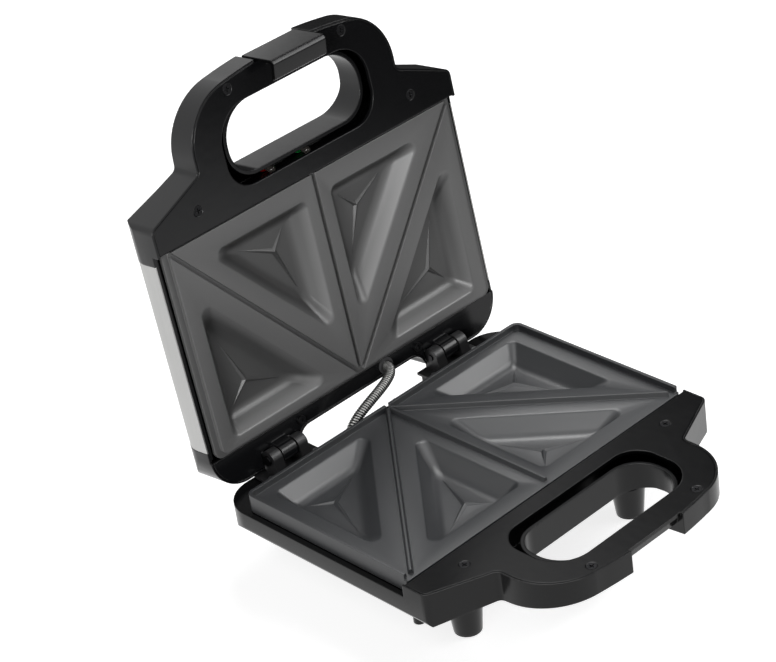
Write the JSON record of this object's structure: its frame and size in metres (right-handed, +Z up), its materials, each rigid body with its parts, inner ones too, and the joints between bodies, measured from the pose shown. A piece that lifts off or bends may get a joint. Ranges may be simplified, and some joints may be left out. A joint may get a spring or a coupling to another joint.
{
  "type": "sandwich toaster",
  "caption": "Hinged two-plate sandwich toaster with triangular pockets, looped handles, a latch and a standing open lid.",
  "frame": {"origin": "on the table, under the middle of the open toaster's bounding box", "axes": "+X along the hinge to the user's right, -Y towards the handles, +Z up"},
  "size_m": [0.236, 0.2854, 0.2968],
  "materials": {
    "gloss_black_plastic": "gloss moulded black",
    "hinge_black_plastic": "satin moulded dark grey",
    "nonstick_lower": "satin non-stick coating on cast aluminium",
    "nonstick_upper": "satin non-stick coating on cast aluminium",
    "brushed_steel": "satin brushed sheet",
    "zinc_steel": "zinc plated",
    "element_sheath": "annealed steel sheath",
    "reflector_sheet": "bright rolled sheet",
    "conduit_steel": "spring-wound steel strip",
    "rubber_black": "matt",
    "ceramic_white": "matt ceramic",
    "wire_sleeve": "braided glass sleeve",
    "lens_red": "clear red",
    "lens_green": "clear green",
    "bulb_glass": "clear"
  },
  "bodies": {
    "base": {"base_housing": "gloss_black_plastic", "base_handle_cover": "gloss_black_plastic", "base_cover_screws": "zinc_steel", "base_plate": "nonstick_lower", "base_plate_screws": "zinc_steel", "base_element": "element_sheath", "base_element_clamps": "zinc_steel", "base_clamp_screws": "zinc_steel", "base_reflector": "reflector_sheet", "thermostat": "ceramic_white", "thermal_fuse": "ceramic_white", "terminal_block": "ceramic_white", "base_wiring": "wire_sleeve", "foot_pads": "rubber_black", "cord_bush": "rubber_black", "base_hinge_brackets": "hinge_black_plastic", "bracket_screws": "zinc_steel", "hinge_pins": "zinc_steel", "base_lead_grommet": "rubber_black", "link_lead": "conduit_steel"},
    "lid": {"lid_housing": "gloss_black_plastic", "lid_steel_skin": "brushed_steel", "lid_handle_cover": "gloss_black_plastic", "lid_cover_screws": "zinc_steel", "lid_plate": "nonstick_upper", "lid_plate_screws": "zinc_steel", "lid_rear_frame": "gloss_black_plastic", "rear_frame_screws": "zinc_steel", "lid_element": "element_sheath", "lid_element_clamps": "zinc_steel", "lid_clamp_screws": "zinc_steel", "lid_reflector": "reflector_sheet", "lid_wiring": "wire_sleeve", "lid_lead_grommet": "rubber_black", "power_lens": "lens_red", "ready_lens": "lens_green", "indicator_bulbs": "bulb_glass", "latch_pin": "zinc_steel"},
    "latch": {"latch": "gloss_black_plastic"}
  },
  "joints": [
    {"name": "lid_hinge", "type": "hinge", "parent": "base", "child": "lid", "pos_m": [0, 0.0876, 0.0662], "axis": [1, 0, 0], "range_deg": [0, 97], "deforming": ["link_lead"]},
    {"name": "latch_pivot", "type": "hinge", "parent": "lid", "child": "latch", "pos_m": [0, 0.12388, 0.28944], "axis": [-1, 0, 0], "range_deg": [0, 35]}
  ]
}
